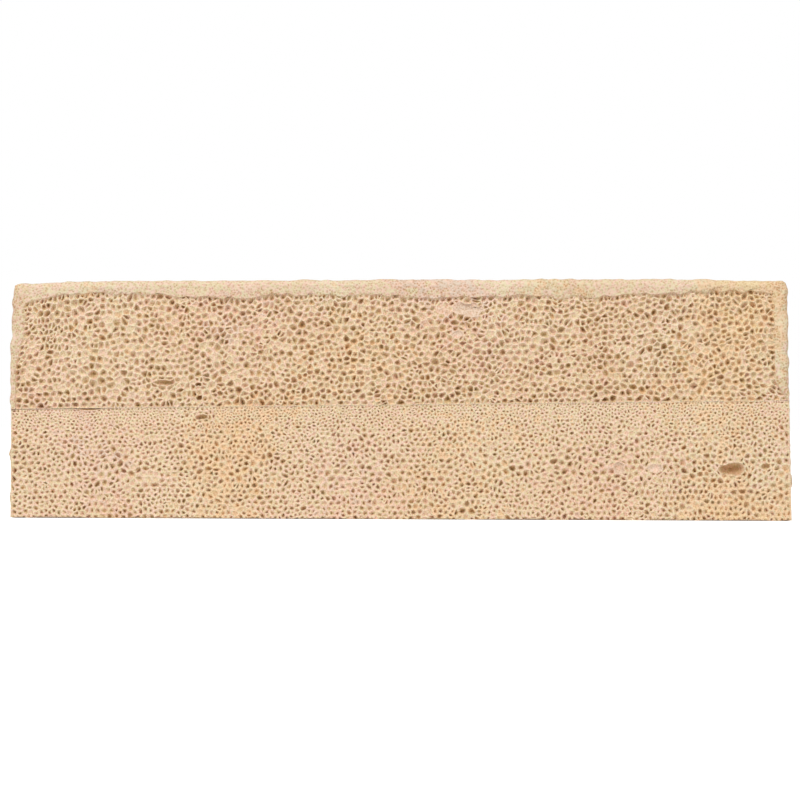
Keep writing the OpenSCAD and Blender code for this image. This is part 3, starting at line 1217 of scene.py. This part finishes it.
def make_rubber():
    """The height of the fine pores, slow clouds, and the tint by the tone that the mesh carries."""
    group = bpy.data.node_groups.new("rubber", "ShaderNodeTree")
    group.interface.new_socket("Pores per metre", in_out="INPUT", socket_type="NodeSocketFloat")
    group.interface.new_socket("Height", in_out="OUTPUT", socket_type="NodeSocketFloat")
    group.interface.new_socket("Cloud", in_out="OUTPUT", socket_type="NodeSocketFloat")
    group.interface.new_socket("Tint", in_out="OUTPUT", socket_type="NodeSocketColor")
    enter = group.nodes.new("NodeGroupInput")
    leave = group.nodes.new("NodeGroupOutput")
    where = group.nodes.new("ShaderNodeTexCoord").outputs["Object"]

    pores = group.nodes.new("ShaderNodeTexVoronoi")
    pores.feature = "F1"
    feed(group, pores, (("Vector", where), ("Scale", enter.outputs["Pores per metre"])))
    grain = noise_at(group, where, 3500, 2)
    height = calculate(group, "MULTIPLY_ADD", grain, 0.6, pores.outputs["Distance"])
    cloud = noise_at(group, where, 90, 3)
    mottle = stretch(group, noise_at(group, where, 700, 2), 0.3, 0.7, -0.25, 0.25)
    tint = ramp(group, calculate(group, "ADD", carried(group, "tone"), mottle), TINTS)
    feed(group, leave, (("Height", height), ("Cloud", cloud), ("Tint", tint)))
    return group


rubber = make_rubber()
print("shared group:", rubber.name)

# %% [markdown]
# The foam's colour is a ramp over the pit value, the painted shade that each vertex carries. On top of it
# come the slow clouds, the tint of the cell, and specks of painted shade where a pore is open. The Principled
# shader stays here, in the material, and its steady values are set on its own sockets.

# %% The cut foam


def multiplied(tree, factor, first, second):
    """A colour times another, by a factor from 0 to 1."""
    node = tree.nodes.new("ShaderNodeMix")
    node.data_type = "RGBA"
    node.blend_type = "MULTIPLY"
    feed(tree, node, ((0, factor), (6, first), (7, second)))
    return node.outputs[2]


def start_material(name, roughness=0.88, specular=0.25):
    material = bpy.data.materials.new(name)
    material.use_nodes = True
    tree = material.node_tree
    shader = tree.nodes["Principled BSDF"]
    shader.inputs["Roughness"].default_value = roughness
    shader.inputs["Specular IOR Level"].default_value = specular
    return material, tree, shader


def add_rubber(tree, shader, per_metre, bump_height):
    """Places the shared group, and lets its pores bump the surface."""
    node = tree.nodes.new("ShaderNodeGroup")
    node.node_tree = rubber
    node.inputs["Pores per metre"].default_value = per_metre
    bump = tree.nodes.new("ShaderNodeBump")
    feed(tree, bump, (("Distance", bump_height), ("Height", node.outputs["Height"])))
    feed(tree, shader, [("Normal", bump.outputs["Normal"])])
    return node.outputs


def opened_pores(tree, height, by):
    """The height of the pores, less by some where the pit is deep, so that more of them are open there."""
    return calculate(tree, "MULTIPLY_ADD", carried(tree, "pit"), -by, height)


def clouded(tree, cloud, most, colour, cloud_colour):
    """Lets the slow clouds multiply a colour by theirs, by so much at most."""
    return multiplied(tree, stretch(tree, cloud, 0.35, 0.65, 0.0, most), colour, cloud_colour)


def cut_foam(name, wall, middle, deep, deepest):
    material, tree, shader = start_material(name)
    shared = add_rubber(tree, shader, per_metre=3300, bump_height=0.00008)
    # The ramp paints the shade in the pits, from the pale walls to the brown floors
    colour = ramp(tree, carried(tree, "pit"), [(0.0, wall), (0.3, middle), (0.65, deep), (1.0, deepest)])
    colour = clouded(tree, shared["Cloud"], 0.35, colour, srgb(252, 240, 232))
    colour = multiplied(tree, 1.0, colour, shared["Tint"])
    # Specks of painted shade where a fine pore is open, more of them in the pits
    speck = stretch(tree, opened_pores(tree, shared["Height"], 0.35), 0.2, 0.9, 0.95, 0.0)
    colour = multiplied(tree, speck, colour, srgb(212, 190, 160))
    feed(tree, shader, [("Base Color", colour)])
    return material


coarse_foam = cut_foam(
    "coarse_cut_foam", srgb(246, 226, 202), srgb(236, 211, 182), srgb(218, 188, 149), srgb(188, 149, 103)
)
fine_foam = cut_foam(
    "fine_cut_foam", srgb(244, 223, 198), srgb(236, 211, 182), srgb(229, 201, 165), srgb(206, 168, 122)
)
print("foam materials:", coarse_foam.name, fine_foam.name)

# %% [markdown]
# The skin formed against the mould, where the bubbles burst to pores too small to see one by one. It is
# smoother and paler than the cut foam, with brown specks of painted shade where a pore is open.

# %% The moulded skin


def moulded_skin():
    material, tree, shader = start_material("moulded_skin")
    shared = add_rubber(tree, shader, per_metre=2200, bump_height=0.00014)
    # Brown specks of painted shade in the open pores, more of them where the pit value is high
    opened = opened_pores(tree, shared["Height"], 0.55)
    stops = [(0.25, srgb(186, 146, 104)), (0.55, srgb(218, 191, 161)), (0.9, srgb(233, 213, 188))]
    colour = clouded(tree, shared["Cloud"], 0.5, ramp(tree, opened, stops), srgb(251, 242, 234))
    feed(tree, shader, [("Base Color", multiplied(tree, 1.0, colour, shared["Tint"]))])
    return material


skin = moulded_skin()
print("skin material:", skin.name)

# %% [markdown]
# A mesh object is made from each layer. The layers are single closed solids, so Blender can find the
# outside by itself. Then each piece replaces the CAD layer of the same name and rides on the one body.

# %% From layers to pieces


def show(name, data):
    thing = bpy.data.objects.new(name, data)
    scene.collection.objects.link(thing)
    return thing


def build_piece(name, layer, materials, node):
    mesh = bpy.data.meshes.new(name)
    mesh.from_pydata([tuple(MM * value for value in point) for point in layer.points], [], layer.faces)
    for material in materials:
        mesh.materials.append(material)
    mesh.polygons.foreach_set("material_index", layer.finish)
    for attribute, values in (("pit", layer.pit), ("tone", layer.tone)):
        store = mesh.attributes.new(attribute, "FLOAT", "POINT")
        store.data.foreach_set("value", values)
    work = bmesh.new()
    work.from_mesh(mesh)
    bmesh.ops.recalc_face_normals(work, faces=work.faces)
    open_edges = sum(1 for edge in work.edges if len(edge.link_faces) != 2)
    for edge in work.edges:
        edge.smooth = len({face.material_index for face in edge.link_faces}) == 1
    work.to_mesh(mesh)
    volume = work.calc_volume() / MM ** 3
    work.free()
    mesh.shade_smooth()
    piece = show(name, mesh)
    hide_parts(node)
    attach(piece, "root")
    print(name + ":", layer.triangles(), "triangles,", open_edges, "open edges,", round(volume), "mm3")


build_piece("coarse_foam_layer", coarse, [coarse_foam, skin, skin], "coarse_layer")
build_piece("fine_foam_layer", fine, [fine_foam], "fine_layer")

# %% [markdown]
# The photograph looks square at the long side from far away, so the camera stands a metre off with a long
# lens. Its height and its slight roll are worked out from where the block's foot lies in the picture.

# %% The camera
picture = 800
field = 155.3
distance = 1000.0
middle_x_px = 401.5
foot_left_px = (12, 517.9)
foot_right_px = (792, 521.2)
scale = field / picture
foot_middle_px = (foot_left_px[1] + foot_right_px[1]) / 2
camera_x = (picture / 2 - middle_x_px) * scale
camera_z = (foot_middle_px - picture / 2) * scale
camera_roll = math.atan2(foot_right_px[1] - foot_left_px[1], foot_right_px[0] - foot_left_px[0])

lens_data = bpy.data.cameras.new("long_lens")
lens_data.sensor_width = 36
lens_data.lens = lens_data.sensor_width * distance / field
lens_data.clip_start = 0.01
lens_data.clip_end = 50
camera = show("camera", lens_data)
camera.matrix_world = (
    Matrix.Translation((camera_x * MM, -(distance + half_depth) * MM, camera_z * MM))
    @ Matrix.Rotation(math.pi / 2, 4, "X")
    @ Matrix.Rotation(camera_roll, 4, "Z")
)
scene.camera = camera
print(f"camera {distance:.0f} mm off, {camera_z:.1f} mm high, rolled {math.degrees(camera_roll):.2f} degrees")

# %% [markdown]
# The ground is white and the light soft. The floor is a plain diffuse sheet, so that it takes the sponge's
# shadow; seen by the camera or in a reflection it also glows a little, which lifts its lit part to white.
# The sky does the same for the background. Neither puts more light on the sponge.

# %% Floor, sky and lamps


def seen_directly(tree):
    """1 for rays from the camera, a mirror or glass, 0 for the light that falls on things."""
    ray = tree.nodes.new("ShaderNodeLightPath").outputs
    either = calculate(tree, "MAXIMUM", ray["Is Camera Ray"], ray["Is Glossy Ray"])
    return calculate(tree, "MAXIMUM", either, ray["Is Transmission Ray"])


def make_floor():
    size = 3.0
    mesh = bpy.data.meshes.new("floor")
    corners = [(-size, -size, 0), (size, -size, 0), (size, size, 0), (-size, size, 0)]
    mesh.from_pydata(corners, [], [(0, 1, 2, 3)])
    material, tree, shader = start_material("white_floor", 0.9, 0.0)
    shader.inputs["Base Color"].default_value = (0.8, 0.8, 0.8, 1)
    shader.inputs["Emission Color"].default_value = (1, 1, 1, 1)
    feed(tree, shader, [("Emission Strength", stretch(tree, seen_directly(tree), 0, 1, 0, 0.7))])
    mesh.materials.append(material)
    show("floor", mesh)


def make_sky(strength):
    world = bpy.data.worlds.new("white_sky")
    scene.world = world
    world.use_nodes = True
    tree = world.node_tree
    glow = stretch(tree, seen_directly(tree), 0, 1, strength, 1.0)
    feed(tree, tree.nodes["Background"], (("Color", (1, 1, 1, 1)), ("Strength", glow)))


def add_lamp(name, place, size, power):
    lamp = bpy.data.lights.new(name, "AREA")
    lamp.shape = "SQUARE"
    lamp.size = size
    lamp.energy = power
    body = show(name, lamp)
    body.location = place
    aim = Vector((0, 0, 0.02)) - Vector(place)
    body.rotation_euler = aim.to_track_quat("-Z", "Y").to_euler()


make_floor()
make_sky(0.52)
add_lamp("key_lamp", (-0.35, -0.75, 0.9), 0.5, 8.4)
add_lamp("fill_lamp", (0.9, -0.8, 0.5), 0.9, 3.0)
scene.view_settings.view_transform = "Standard"
